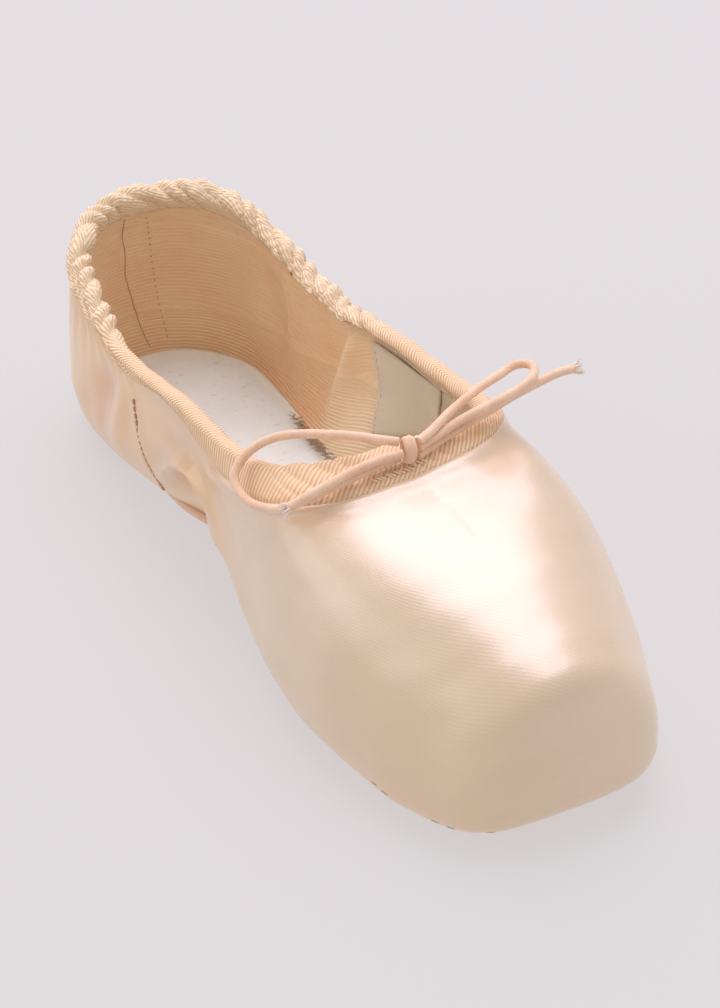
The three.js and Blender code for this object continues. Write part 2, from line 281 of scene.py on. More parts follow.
def linked(name, data):
    piece = bpy.data.objects.new(name, data)
    bpy.context.scene.collection.objects.link(piece)
    return piece


# writes a finished bmesh: soft pieces shade smoothly and get their faces turned outwards
def meshPiece(name, bm, mesh=None, soft=True):
    if soft:
        bmesh.ops.recalc_face_normals(bm, faces=bm.faces[:])
    mesh = mesh or bpy.data.meshes.new(name)
    bm.to_mesh(mesh)
    bm.free()
    for polygon in mesh.polygons:
        polygon.use_smooth = soft
    return linked(name, mesh)


def readPlaces(piece):
    flat = np.empty(len(piece.data.vertices) * 3)
    piece.data.vertices.foreach_get("co", flat)
    return flat.reshape(-1, 3) / mm


# one value a vertex, read by the materials
def addValues(piece, name, values):
    layer = piece.data.attributes.new(name, "FLOAT", "POINT")
    layer.data.foreach_set("value", values)


# finds the nearest of a table's points, as distances and indices
class NearestReader:
    def __init__(self, points):
        flat = points.reshape(-1, 3)
        self.tree = kdtree.KDTree(len(flat))
        for index, place in enumerate(flat):
            self.tree.insert(place, index)
        self.tree.balance()

    def query(self, places):
        found = [self.tree.find(place) for place in places]
        return np.array([hit[2] for hit in found]), np.array([hit[1] for hit in found])


# a mesh from a table of points: a bmesh grid whose vertices move to their places, seams merged
def gridPiece(name, points, closedAround=False, closedSection=False, uv=None, capped=False):
    table = points
    if closedAround:
        table = np.concatenate([table, table[:1]])
    if closedSection:
        table = np.concatenate([table, table[:, :1]], axis=1)
    wide, high = table.shape[0] - 1, table.shape[1] - 1
    bm = bmesh.new()
    bmesh.ops.create_grid(bm, x_segments=wide, y_segments=high, size=1)
    mesh = bpy.data.meshes.new(name)
    bm.to_mesh(mesh)
    bm.free()
    flat = np.empty(len(mesh.vertices) * 3)
    mesh.vertices.foreach_get("co", flat)
    flat = flat.reshape(-1, 3)
    i = np.rint((flat[:, 0] + 1) / 2 * wide).astype(int)
    j = np.rint((flat[:, 1] + 1) / 2 * high).astype(int)
    mesh.vertices.foreach_set("co", (table[i, j] * mm).ravel())
    if uv is not None:
        corner = np.empty(len(mesh.loops), dtype=np.int32)
        mesh.loops.foreach_get("vertex_index", corner)
        mesh.uv_layers.new(name="UVMap").data.foreach_set("uv", uv[i[corner], j[corner]].ravel())
    bm = bmesh.new()
    bm.from_mesh(mesh)
    if closedAround or closedSection:
        edges = [vert for vert in bm.verts if vert.is_boundary]
        bmesh.ops.remove_doubles(bm, verts=edges, dist=1e-7)
    if capped:
        bmesh.ops.holes_fill(bm, edges=[edge for edge in bm.edges if edge.is_boundary], sides=0)
    return meshPiece(name, bm, mesh)


def finishPiece(piece, material, slot, *nodes):
    piece.data.materials.append(material)
    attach(piece, "root")
    if nodes:
        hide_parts(*nodes)
    return piece


# shader maths as plain expressions on wrapped sockets
class Field:
    def __init__(self, finish, socket):
        self.finish, self.socket = finish, socket

    def maths(self, operation, *values):
        return self.finish.node("ShaderNodeMath", {"operation": operation}, dict(enumerate(values)))

    def __add__(self, other): return self.maths("ADD", self, other)
    def __radd__(self, other): return self.maths("ADD", other, self)
    def __sub__(self, other): return self.maths("SUBTRACT", self, other)
    def __rsub__(self, other): return self.maths("SUBTRACT", other, self)
    def __mul__(self, other): return self.maths("MULTIPLY", self, other)
    def __rmul__(self, other): return self.maths("MULTIPLY", other, self)
    def __truediv__(self, other): return self.maths("DIVIDE", self, other)
    def __pow__(self, other): return self.maths("POWER", self, other)
    def sine(self): return self.maths("SINE", self)
    def wave(self, pitch): return (self * (2 * math.pi / pitch)).sine()
    def size(self): return self.maths("ABSOLUTE", self)
    def clamped(self): return self.maths("MINIMUM", self.maths("MAXIMUM", self, 0.0), 1.0)

    def between(self, low, high):
        return self.finish.node("ShaderNodeMapRange", {"interpolation_type": "SMOOTHSTEP"},
                                {"Value": self, "From Min": low, "From Max": high})


class Finish:
    def __init__(self, name, **constants):
        self.material = bpy.data.materials.new(name)
        self.material.use_nodes = True
        self.tree = self.material.node_tree
        self.shader = self.tree.nodes["Principled BSDF"]
        for socket, value in constants.items():
            self.shader.inputs[socket.replace("_", " ")].default_value = value

    def node(self, kind, settings=None, sockets=None, output=0):
        node = self.tree.nodes.new(kind)
        for key, value in (settings or {}).items():
            if key == "stops":
                ramp = node.color_ramp
                while len(ramp.elements) < len(value):
                    ramp.elements.new(0.5)
                for element, (place, colour) in zip(ramp.elements, value):
                    element.position = place
                    element.color = (*colour, 1)
            else:
                setattr(node, key, value)
        for key, value in (sockets or {}).items():
            self.put(node.inputs[key], value)
        return Field(self, node.outputs[output])

    def put(self, socket, value):
        if isinstance(value, Field):
            self.tree.links.new(value.socket, socket)
        elif isinstance(value, (tuple, list)) and len(value) == 3 and len(socket.default_value) == 4:
            socket.default_value = (*value, 1)
        else:
            socket.default_value = value

    def surface(self, **sockets):
        for name, value in sockets.items():
            self.put(self.shader.inputs[name.replace("_", " ")], value)
        return self.material

    def place(self):
        return self.node("ShaderNodeTexCoord", output="Object")

    def flat(self):
        return self.node("ShaderNodeUVMap", {"uv_map": "UVMap"})

    def value(self, name):
        return self.node("ShaderNodeAttribute", {"attribute_name": name}, output="Fac")

    def parts(self, vector):
        split = self.node("ShaderNodeSeparateXYZ", None, {"Vector": vector})
        outputs = split.socket.node.outputs
        return Field(self, outputs[0]), Field(self, outputs[1]), Field(self, outputs[2])

    def noise(self, vector, scale, detail=3.0, roughness=0.55):
        return self.node("ShaderNodeTexNoise", None,
                         {"Vector": vector, "Scale": scale, "Detail": detail, "Roughness": roughness})

    def stretched(self, vector, scale):
        return self.node("ShaderNodeMapping", {"vector_type": "POINT"}, {"Vector": vector, "Scale": scale})

    def blend(self, share, first, second, how="MIX"):
        node = self.tree.nodes.new("ShaderNodeMix")
        node.data_type = "RGBA"
        node.blend_type = how
        for index, value in ((0, share), (6, first), (7, second)):
            self.put(node.inputs[index], value)
        return Field(self, node.outputs[2])

    def bump(self, height, distance, strength=1.0, under=None):
        sockets = {"Height": height, "Distance": distance, "Strength": strength}
        if under is not None:
            sockets["Normal"] = under
        return self.node("ShaderNodeBump", None, sockets)


# camera: it stands where the photograph's stood, turned to the shoe's middle with a longer lens
view = {"azimuth": -28.056, "elevation": 34.202, "roll": -1.013, "distance": 807.72,
        "target": (7.667, 0.195, 19.562), "lens": 115.4, "sensor": 36, "clip": 0.01}


def placeCamera():
    azimuth, elevation, roll = (math.radians(view[key]) for key in ("azimuth", "elevation", "roll"))
    level = math.cos(elevation)
    back = Vector((math.sin(azimuth) * level, -math.cos(azimuth) * level, math.sin(elevation)))
    right = Vector((math.cos(azimuth), math.sin(azimuth), 0))
    up = back.cross(right)
    turnedRight = right * math.cos(roll) + up * math.sin(roll)
    turnedUp = up * math.cos(roll) - right * math.sin(roll)
    camera = linked("camera", bpy.data.cameras.new("camera"))
    camera.data.sensor_fit = "VERTICAL"
    camera.data.sensor_height = view["sensor"]
    camera.data.lens = view["lens"]
    camera.data.clip_start = view["clip"]
    turn = Matrix((turnedRight, turnedUp, back)).transposed().to_4x4()
    spot = Vector(view["target"]) + back * view["distance"]
    camera.matrix_world = Matrix.Translation(spot * mm) @ turn
    bpy.context.scene.camera = camera


placeCamera()

# the bow: elastic strands whose route points repeat the solids'
elastic = {
    "diameter": 2.2, "roundness": 5, "spacing": 1.1,
    "colours": [(0.3, (0.77, 0.48, 0.31)), (0.5, (0.89, 0.61, 0.43)), (0.7, (0.99, 0.76, 0.58))],
}
strands = {
    "loopLeft": [
        (-4.6, -42.5, 66.2), (-9, -39, 66.5), (-14, -34.6, 66.6), (-19.8, -29.5, 66), (-24.9, -24.2, 64.3),
        (-29.7, -20.5, 61.3), (-33.9, -19.5, 57.9), (-36.7, -20.8, 54.6), (-37.2, -24.3, 52.6),
        (-36.8, -30, 52.6), (-35.3, -35.9, 54.2), (-32.3, -40.3, 56.2), (-29.2, -42.2, 58.1),
        (-25.3, -43.3, 59.7), (-20.1, -43.8, 61), (-14.3, -43.7, 61.8), (-9, -43, 62), (-4.7, -42.4, 61.8)],
    "endLeft": [
        (-4.9, -44.4, 64.2), (-11.4, -44.5, 64.4), (-18.2, -44.8, 63.7), (-26.3, -45.2, 62.2),
        (-30.3, -44.9, 60.9), (-35.2, -44.6, 59.3)],
    "loopRight": [
        (-0.3, -44, 65.8), (4.6, -41.9, 66.2), (10.8, -38.3, 66.6), (17.3, -35.2, 67), (24.4, -32.4, 67.5),
        (30.2, -30.8, 68), (35.5, -29.5, 68), (37.5, -30.8, 68), (36.6, -34.7, 68), (33.4, -37.1, 67.7),
        (29.2, -38.3, 67.2), (23.2, -39.1, 66.4), (14.5, -40, 65.4), (6.9, -41.6, 64.4), (-0.2, -43.8, 63.9)],
    "endRight": [
        (-0.3, -43.5, 61.6), (7.1, -41.1, 62.1), (15.1, -39.1, 62.7), (23, -37.2, 63.3), (31.1, -35.2, 63.9),
        (38.9, -33.9, 64.5), (45.5, -33.4, 65), (48.7, -33.9, 65)],
}
knotWrap = {"centre": (-2.5, -43.4, 63.9), "across": 1.5, "front": 1.6, "tall": 2.5, "start": -0.15,
            "turns": 1.75, "points": 44}


# the way along a line up to each of its points
def travelledAlong(line):
    return np.concatenate([[0], np.cumsum(np.linalg.norm(np.diff(line, axis=0), axis=1))])


def smoothRoute(points, spacing):
    points = np.array(points, float)
    travelled = travelledAlong(points)
    count = max(8, int(travelled[-1] / spacing))
    where = np.linspace(0, travelled[-1], count + 1)
    route = np.stack([naturalSpline(travelled, points[:, axis])(where) for axis in range(3)], axis=1)
    return route, travelledAlong(route)[-1]


def elasticCurve(name, route):
    curve = bpy.data.curves.new(name, "CURVE")
    curve.dimensions = "3D"
    curve.bevel_depth = elastic["diameter"] / 2 * mm
    curve.bevel_resolution = elastic["roundness"]
    curve.use_fill_caps = True
    spline = curve.splines.new("POLY")
    spline.points.add(len(route) - 1)
    for point, place in zip(spline.points, route):
        point.co = (*(place * mm), 1)
    spline.use_smooth = True
    return linked(name, curve)


def elasticFinish():
    finish = Finish("peachElastic", Sheen_Weight=0.35, Sheen_Roughness=0.5, Specular_IOR_Level=0.35)
    place = finish.place()
    grain = finish.noise(place, 2600.0, 2.0)
    patch = finish.noise(place, 160.0, 2.0)
    mixed = grain * 0.5 + patch * 0.5
    colour = finish.node("ShaderNodeValToRGB", {"stops": elastic["colours"]}, {"Fac": mixed})
    return finish.surface(Base_Color=colour, Roughness=0.62, Normal=finish.bump(grain, 0.00015, 0.5))


# a thin cone, its root at a place and its tip along a direction
def addSpike(bm, root, tilt, reach, segments, thick, fine):
    made = bmesh.ops.create_cone(bm, segments=segments, radius1=thick, radius2=fine, depth=reach,
                                 cap_ends=True)
    turned = Vector((0, 0, 1)).rotation_difference(tilt).to_matrix().to_4x4()
    bmesh.ops.transform(bm, verts=made["verts"], matrix=Matrix.Translation(root + tilt * reach / 2) @ turned)


# a blunt tuft of cut rubber and thread at the end of a strand
cutEnd = {"threads": 54, "spread": 1.2, "sunk": 0.5, "reach": (1.1, 2.5), "splay": (0.1, 0.9),
          "cone": (5, 0.17, 0.08)}


def frayedTip(name, place, direction, material, seed):
    draw = random.Random(seed)
    direction = Vector(direction).normalized()
    side = direction.orthogonal().normalized()
    other = direction.cross(side)
    bm = bmesh.new()
    for _ in range(cutEnd["threads"]):
        turn = draw.uniform(0, 2 * math.pi)
        spread = math.sqrt(draw.random()) * cutEnd["spread"]
        outward = side * math.cos(turn) + other * math.sin(turn)
        root = Vector(place) + outward * spread - direction * cutEnd["sunk"]
        reach = draw.uniform(*cutEnd["reach"])
        tilt = (direction + outward * draw.uniform(*cutEnd["splay"]) * spread).normalized()
        addSpike(bm, root, tilt, reach, *cutEnd["cone"])
    bmesh.ops.scale(bm, vec=(mm, mm, mm), verts=bm.verts[:])
    return finishPiece(meshPiece(name, bm, soft=False), material, "cord")


def threadFinish(name, colour, dark, scale=3000.0):
    finish = Finish(name, Sheen_Weight=0.3)
    twist = finish.noise(finish.place(), scale, 2.0)
    return finish.surface(Base_Color=finish.blend(twist, dark, colour), Roughness=0.75,
                          Normal=finish.bump(twist, 0.00008, 0.6))


def tieBow():
    peach = elasticFinish()
    whitish = threadFinish("cutThread", (0.95, 0.88, 0.8), (0.8, 0.66, 0.55))
    turns = np.linspace(knotWrap["start"], knotWrap["turns"], knotWrap["points"])
    angle = turns * 2 * math.pi
    wrap = np.stack([(turns / knotWrap["turns"] - 0.5) * knotWrap["across"],
                     -knotWrap["front"] * np.cos(angle), knotWrap["tall"] * np.sin(angle)], axis=1)
    knot = elasticCurve("knotWrap", wrap + np.array(knotWrap["centre"]))
    finishPiece(knot, peach, "cord", "knot")
    nodes = ["loop_left", "end_left", "loop_right", "end_right"]
    for index, (name, points) in enumerate(strands.items()):
        route, length = smoothRoute(points, elastic["spacing"])
        strand = elasticCurve(name, route)
        finishPiece(strand, peach, "cord", nodes[index])
        pieces = [knot] if name == "loopLeft" else []
        if name.startswith("end"):
            pieces.append(frayedTip(name + "Tip", route[-1], route[-1] - route[-3], whitish, 5 + index))


tieBow()
print("bow tied")

# creases of the satin: where, a line on the shoe, its half width, and its height,
# below zero for a trough. On the sides a point is (y, z), on top (x, y), and at the heel (x, z)
satinCreases = [
    # dent at the heel counter's lower edge
    ("near", [(86, 12), (71.5, 24.8), (60.9, 38.1)], 5.0, -1.3),
    # upright ridge beside the side seam, and the hollow behind it
    ("near", [(50.4, 41.9), (57, 25.3), (64, 10.4)], 3.6, 1.3),
    ("near", [(63.5, 36), (69, 22.1), (75.5, 10.4)], 4.0, -1.3),
    # the crumple at the waist: a hooked ridge, the pocket under it, and the puffed edge below the casing
    ("near", [(43.3, 13.9), (34.7, 22.6), (24.5, 30.6), (16.2, 35), (11.1, 36), (7, 34.5), (3.6, 32),
              (0.5, 29)], 2.1, 3.0),
    ("near", [(36.5, 16), (29.5, 21), (22, 26), (14.5, 30.5)], 3.3, -3.8),
    ("near", [(5.3, 40.6), (-4.6, 43.4), (-17.4, 48), (-24.1, 48.9)], 2.0, 1.3),
    ("near", [(28, 36), (20, 39), (12, 40.5)], 2.2, -0.7),
    ("near", [(14, 16), (4, 23), (-8, 26)], 3.2, 1.0),
    ("near", [(10, 8), (-1, 14), (-12, 17)], 3.4, -1.0),
    # the box's lower corner stands out a little on this side
    ("near", [(-80, 4), (-98, 4.5), (-110, 5.5)], 5.0, 1.5),
    # soft dents beside the throat
    ("top", [(12, -50), (22, -45), (30, -38)], 5.5, -0.7),
    ("top", [(-20, -47), (-27, -42), (-31, -34)], 4.5, -0.5),
    # the far side, out of the photograph's sight: the same wear, a little calmer
    ("far", [(80, 14), (68, 26), (58, 37)], 5.0, -1.0),
    ("far", [(34, 16), (22, 25), (10, 30)], 3.6, -1.8),
    ("far", [(30, 25), (20, 33), (9, 38)], 2.8, 1.2),
    ("far", [(50, 40), (57, 25), (64, 11)], 3.6, 0.8),
    # behind the heel
    ("heel", [(-13, 44), (-4, 38), (8, 41)], 3.6, -0.6),
]
sideSeam = [(46.4, 38), (45.5, 30.6), (46.8, 17.8), (47.3, 10.7), (47.5, 6.5)]
backSeam = [(0, 46), (0, 34), (0, 20), (0, 9)]


# the points of a line laid on the skin: the closest ones seen from that side
def onSkin(points, where, line):
    flat = points.reshape(-1, 3)
    axes, facing = {
        "near": ((1, 2), -flat[:, 0]), "far": ((1, 2), flat[:, 0]),
        "top": ((0, 1), flat[:, 2] - 20), "heel": ((0, 2), flat[:, 1]),
    }[where]
    shown = np.where(facing > 4, 0, 1e6)
    seen = flat[:, list(axes)]
    return [tuple(flat[np.argmin(((seen - place) ** 2).sum(axis=1) + shown)]) for place in line]


# height at each point from creases: soft troughs and ridges around short lines
def creaseHeight(points, creases):
    height = np.zeros(points.shape[:-1])
    for where, line, width, depth in creases:
        line = np.array(onSkin(points, where, line), float)
        lengths = np.linalg.norm(np.diff(line, axis=0), axis=1)
        total = lengths.sum()
        best = np.full(height.shape, 1e9)
        along = np.zeros(height.shape)
        travelled = 0.0
        for a, b, length in zip(line[:-1], line[1:], lengths):
            t = np.clip(((points - a) @ (b - a)) / length ** 2, 0, 1)
            away = np.linalg.norm(points - (a + t[..., None] * (b - a)), axis=-1)
            nearer = away < best
            best = np.where(nearer, away, best)
            along = np.where(nearer, (travelled + t * length) / total, along)
            travelled += length
        taper = smooth(-0.15, 0.3, along) * smooth(-0.15, 0.3, 1 - along)
        height += depth * taper * np.exp(-(best / width) ** 2)
    return height


def meander(x, seed):
    draw = np.random.default_rng(seed)
    return sum(np.sin(x * draw.uniform(0.6, 1.5) + draw.uniform(0, 6.28)) for _ in range(4)) / 2


casing = {
    "around": 620, "outer": 15, "fold": 8, "inner": 6, "wall": 30, "innerWidth": 5.2,
    "ripple": 7.2, "finePitch": 2.9, "puff": 1.5, "rimWave": 1.3, "twillPitch": 1.2, "threadPitch": 0.32,
    "lieDown": 0.6, "heelNarrowing": 0.4, "cornerAt": 30, "cornerReach": 24, "cornerNarrowing": 0.5,
    "nearGathers": (52, 74), "farGathers": (78, 108), "knotGathers": (150, 161), "knotDraw": 0.5,
    "edge": ([0, 1, 2, 3], [0.05, 0.5, 0.85, 1]),
    "pale": (0.96, 0.91, 0.76), "peach": (0.95, 0.71, 0.455), "deep": (0.82, 0.46, 0.235),
}


# the heel's stretch of the casing, where the tape is gathered
def gatheredAt(fromHeel):
    nearSide = 1 - smooth(*casing["nearGathers"], fromHeel)
    farSide = 1 - smooth(*casing["farGathers"], -fromHeel)
    return np.minimum(nearSide, farSide)


# how tightly the casing is drawn up: at the heel, and a little beside the knot
def scrunchAt(fromHeel):
    knotSide = smooth(*casing["knotGathers"], np.abs(fromHeel)) * casing["knotDraw"]
    return np.clip(gatheredAt(fromHeel) + knotSide, 0, 1)


# how far the casing reaches down the outside
def casingReach(ring):
    corner = np.exp(-((ring.fromToe - casing["cornerAt"]) / casing["cornerReach"]) ** 2)
    narrowing = casing["cornerNarrowing"] * corner + casing["heelNarrowing"] * gatheredAt(ring.fromHeel)
    return shoe["tapeWidth"] * (1 - narrowing)


def wrapped(table):
    return np.concatenate([table, table[:1]])


# uv map in millimetres: around the shoe, and along the piece's own section
def ringUv(ring, along):
    around = np.concatenate([ring.around, [ring.perimeter]])[:, None]
    along = wrapped(along)
    along = np.concatenate([along, along[:, -1:] + 1], axis=1)
    return np.stack(np.broadcast_arrays(around, along), axis=-1)


def satinFinish():
    finish = Finish("peachSatin", Sheen_Weight=0.25, Sheen_Roughness=0.35, Specular_IOR_Level=0.9,
                    Anisotropic=0.3, Coat_Roughness=0.29, Coat_IOR=2.1)
    finish.put(finish.shader.inputs["Sheen Tint"], (1.0, 0.86, 0.76))
    place = finish.place()
    around, along, _ = finish.parts(finish.flat())
    weft = along.wave(0.55)                                           # fine ribs of the weave
    warp = (around + along * 0.15).wave(0.34)
    slub = finish.noise(finish.stretched(finish.flat(), (0.9, 6.0, 1.0)), 1.0, 2.0)
    tone = finish.noise(place, 26.0, 3.0)
    marks = finish.noise(place, 95.0, 4.0, 0.65)
    _, lengthways, height = finish.parts(place)
    front = 1 - lengthways.between(-0.045, 0.02)                      # the satin over the box is paler, the rest more orange: painted highlight and painted warm shade
    low = 1 - height.between(0.022, 0.05)                             # and the lower sides are tinted yellower, as painted shade
    mottle = tone.between(0.32, 0.72)
    rear = finish.blend(mottle, satin["deep"], satin["light"])
    colour = finish.blend(front, rear, finish.blend(mottle, satin["toeDeep"], satin["toeLight"]))
    colour = finish.blend(slub.between(0.35, 0.75) * 0.1, colour, satin["pale"])
    colour = finish.blend(marks.between(0.6, 0.78) * 0.05, colour, satin["worn"])
    colour = finish.blend(finish.value("hollow") * satin["hollowWarmth"], colour, satin["shade"])
    # painted shade: the satin low on the sides is tinted yellower
    colour = finish.blend(low, colour, satin["paintedShadeTint"], "MULTIPLY")
    # painted warm bounce light along the satin's lowest edge
    colour = finish.blend((1 - height.between(0.003, 0.012)) * 0.45, colour, satin["paintedBounceEdge"])
    soft = finish.bump(finish.noise(place, 120.0, 3.0), 0.0006, 0.25)
    slant = (around + along * 0.9).wave(1.0)
    weave = finish.bump(weft * 0.4 + warp * 0.3 + slub + slant * 0.45, 0.00005, 0.4, soft)
    return finish.surface(Base_Color=colour, Roughness=satin["rough"] + tone * 0.08,
                          Coat_Weight=satin["gloss"], Normal=weave)


satin = {
    "around": 250, "steps": {"margin": 6, "feather": 24, "wall": 72, "casing": 8},
    "cloth": 0.9, "backRows": 34, "rough": 0.34, "gloss": 1.0, "hollowWarmth": 0.75, "hollowDepth": 1.6,
    "gatherPitch": 5.2, "gatherDepth": 0.65, "gatherReach": 7.0, "gatherEnds": (95, 120), "belowTape": 10,
    "pleatDepth": 0.55, "pleatPitch": 5.2, "pleatReach": 34, "edgePuff": 0.95, "puffEnds": (66, 90),
    "softness": 0.13, "unevenness": 0.08, "seamGroove": (0.6, -0.55), "seamSwell": (2.4, 0.45),
    "deep": (0.82, 0.51, 0.255), "light": (0.90, 0.59, 0.305),
    "toeDeep": (0.76, 0.565, 0.375), "toeLight": (0.83, 0.635, 0.44),
    "pale": (0.90, 0.75, 0.60), "paintedShadeTint": (1.0, 0.955, 0.85), "paintedBounceEdge": (0.93, 0.55, 0.29),
    "worn": (0.72, 0.56, 0.43), "shade": (0.80, 0.45, 0.25),
}


def satinShape(ring):
    points, normals = ring.points, ring.normals
    around = ring.around[:, None]
    heel = ring.fromHeel[:, None]
    height = creaseHeight(points, satinCreases)
    # little folds running down from the drawn-up casing
    turn = 2 * math.pi * around / satin["gatherPitch"]
    wave = np.sin(turn + 1.3 * meander(around / 9, 3) + 0.12 * ring.down)
    reach = satin["gatherReach"] * (0.6 + 0.5 * np.abs(meander(around / 6, 8)))
    fall = np.exp(-np.clip(ring.down - satin["belowTape"], 0, None) / reach)
    drawn = scrunchAt(heel) * (1 - smooth(*satin["gatherEnds"], np.abs(heel)))
    height += satin["gatherDepth"] * wave * fall * drawn
    # the cloth lies a little unevenly over the stiffening
    height += satin["softness"] * softNoise(around, ring.down, 34, 11) * smooth(0.28, 0.5, ring.share)
    height += satin["unevenness"] * softNoise(around, ring.down, 15, 12)
    # the satin's edge puffs up against the casing around the throat
    below = ring.down - casingReach(ring)[:, None]
    throat = 1 - smooth(*satin["puffEnds"], ring.fromToe)
    height += satin["edgePuff"] * np.exp(-((below - 0.5) / 1.6) ** 2) * throat[:, None]
    # pleats where the satin turns under the tip
    tip = np.exp(-(ring.fromToe[:, None] / satin["pleatReach"]) ** 2)
    under = smooth(ring.down[:, ring.feather - 10][:, None], ring.down[:, 0][:, None], ring.down)
    pleats = ring.fromToe[:, None] / satin["pleatPitch"]
    fan = np.abs(np.sin(math.pi * pleats + 0.5 * meander(around / 8, 4)))
    height -= satin["pleatDepth"] * (1 - fan) ** 2 * under * np.clip(tip * 1.4, 0, 1)
    # grooves of the side and back seams
    for where, line in (("near", sideSeam), ("far", sideSeam), ("heel", backSeam)):
        for shape in ("seamGroove", "seamSwell"):
            height += creaseHeight(points, [(where, line, *satin[shape])])
    return points + normals * height[..., None], height


def makeSatin():
    ring = Ring(satin["around"], satin["steps"])
    outer, height = satinShape(ring)
    back = np.linspace(ring.rows - 1, 0, satin["backRows"]).astype(int)
    broad = creaseHeight(ring.points, satinCreases)[:, back]
    inner = ring.points[:, back] + ring.normals[:, back] * (broad - satin["cloth"])[..., None]
    table = np.concatenate([outer, inner], axis=1)
    along = np.concatenate([-ring.down, 1 + np.cumsum(np.ones((ring.columns, len(back))), axis=1)], axis=1)
    piece = gridPiece("satinUpper", table, True, True, ringUv(ring, along))
    # troughs are warmer, as light goes to and fro between the folds
    _, index = NearestReader(outer).query(readPlaces(piece))
    addValues(piece, "hollow", np.clip(-height.ravel()[index] / satin["hollowDepth"], 0, 1))
    finishPiece(piece, satinFinish(), "satin", "upper")
    return outer


satinSkin = makeSatin()
print("satin stretched over the box")

lining = {
    "around": 220, "steps": {"margin": 4, "feather": 10, "wall": 50, "casing": 8}, "backRows": 26,
    "clear": 0.95, "easing": 9, "foldRange": (-0.9, 4),
    "canvas": (0.96, 0.67, 0.41), "pale": (0.96, 0.78, 0.53), "warm": (0.96, 0.57, 0.30),
    "ash": (0.74, 0.65, 0.52), "speck": (0.20, 0.10, 0.05),
}
# folds of the lining, raised into the shoe
liningFolds = [
    ("far", [(97, 38), (94, 22), (87, 9)], 4.0, 1.0),
    ("far", [(87, 41), (85, 24), (78, 11)], 4.0, -0.7),
    ("far", [(77, 43), (76, 22), (64, 12)], 4.5, 1.5),
    ("far", [(44, 42), (51.6, 30.3), (56.3, 20.8), (58.8, 12)], 2.6, -1.6),
    ("far", [(38, 44), (44, 32), (48, 23), (49.5, 14)], 3.6, 3.3),
    ("near", [(80, 40), (60, 28), (40, 24)], 5.0, 1.0),
    ("far", [(12, 44), (0, 32), (-8, 20)], 6.0, -0.6),
]


def liningFinish():
    finish = Finish("canvasLining", Sheen_Weight=0.2, Specular_IOR_Level=0.25)
    place = finish.place()
    _, along, _ = finish.parts(finish.flat())
    drift = finish.noise(place, 40.0, 2.0)
    ribs = (along + drift * 1.6).wave(1.15)
    tone = finish.noise(place, 22.0, 3.0)
    colour = finish.blend(tone.between(0.3, 0.7), lining["canvas"], lining["pale"])
    colour = finish.blend(ribs.between(-1.0, 0.2), finish.blend(0.27, colour, lining["warm"]), colour)
    colour = finish.blend(finish.noise(place, 55.0, 2.0).between(0.52, 0.72) * 0.35, colour, lining["warm"])
    sideways, lengthways, _ = finish.parts(place)
    ashen = (1 - lengthways.between(0.0, 0.04)) * sideways.between(0.0, 0.02)
    colour = finish.blend(ashen * 0.75, colour, lining["ash"])
    warmth = lengthways.between(0.046, 0.056) * (1 - lengthways.between(0.075, 0.1))
    colour = finish.blend(warmth * sideways.between(0.0, 0.02) * 0.45, colour, lining["warm"])
    fleck = finish.node("ShaderNodeTexVoronoi", None, {"Vector": place, "Scale": 85.0}, "Distance")
    pick = finish.noise(place, 60.0, 0.0)
    specks = (1 - fleck.between(0.035, 0.06)) * pick.between(0.56, 0.6)
    colour = finish.blend(specks * 0.8, colour, lining["speck"])
    height = ribs * 0.6 + finish.noise(place, 1500.0, 2.0) * 0.8
    return finish.surface(Base_Color=colour, Roughness=0.85, Normal=finish.bump(height, 0.00018, 0.7))


def makeLining():
    ring = Ring(lining["around"], lining["steps"])
    folds = creaseHeight(ring.points, liningFolds)
    folds += 0.3 * softNoise(ring.around[:, None], ring.down, 26, 21)
    room = smooth(4, 16, ring.down) * smooth(ring.down[:, :1], ring.down[:, :1] - 20, ring.down)
    # the satin's troughs, wider and deeper, so that the lining stays clear of them
    troughs = [(where, line, half * 1.5, depth * 1.25)
               for where, line, half, depth in satinCreases if depth < 0]
    broad = creaseHeight(ring.points, troughs)
    height = broad - shoe["wall"] - np.clip(folds * room, *lining["foldRange"])
    inner = ring.points + ring.normals * height[..., None]
    for _ in range(lining["easing"]):                      # eases the cloth over sharp turns of the wall
        inner[:, 1:-1] = (inner[:, :-2] + 2 * inner[:, 1:-1] + inner[:, 2:]) / 4
    back = np.linspace(0, ring.rows - 1, lining["backRows"]).astype(int)
    behind = ring.points[:, back] + ring.normals[:, back] * (broad[:, back] - lining["clear"])[..., None]
    table = np.concatenate([inner[:, ::-1], behind], axis=1)
    onward = ring.down[:, :1] + 1 + np.cumsum(np.ones((ring.columns, len(back))), axis=1)
    along = np.concatenate([ring.down[:, ::-1], onward], axis=1)
    piece = gridPiece("lining", table, True, True, ringUv(ring, along))
    finishPiece(piece, liningFinish(), "tape", "upper")
    return inner


liningSkin = makeLining()
print("lining in")


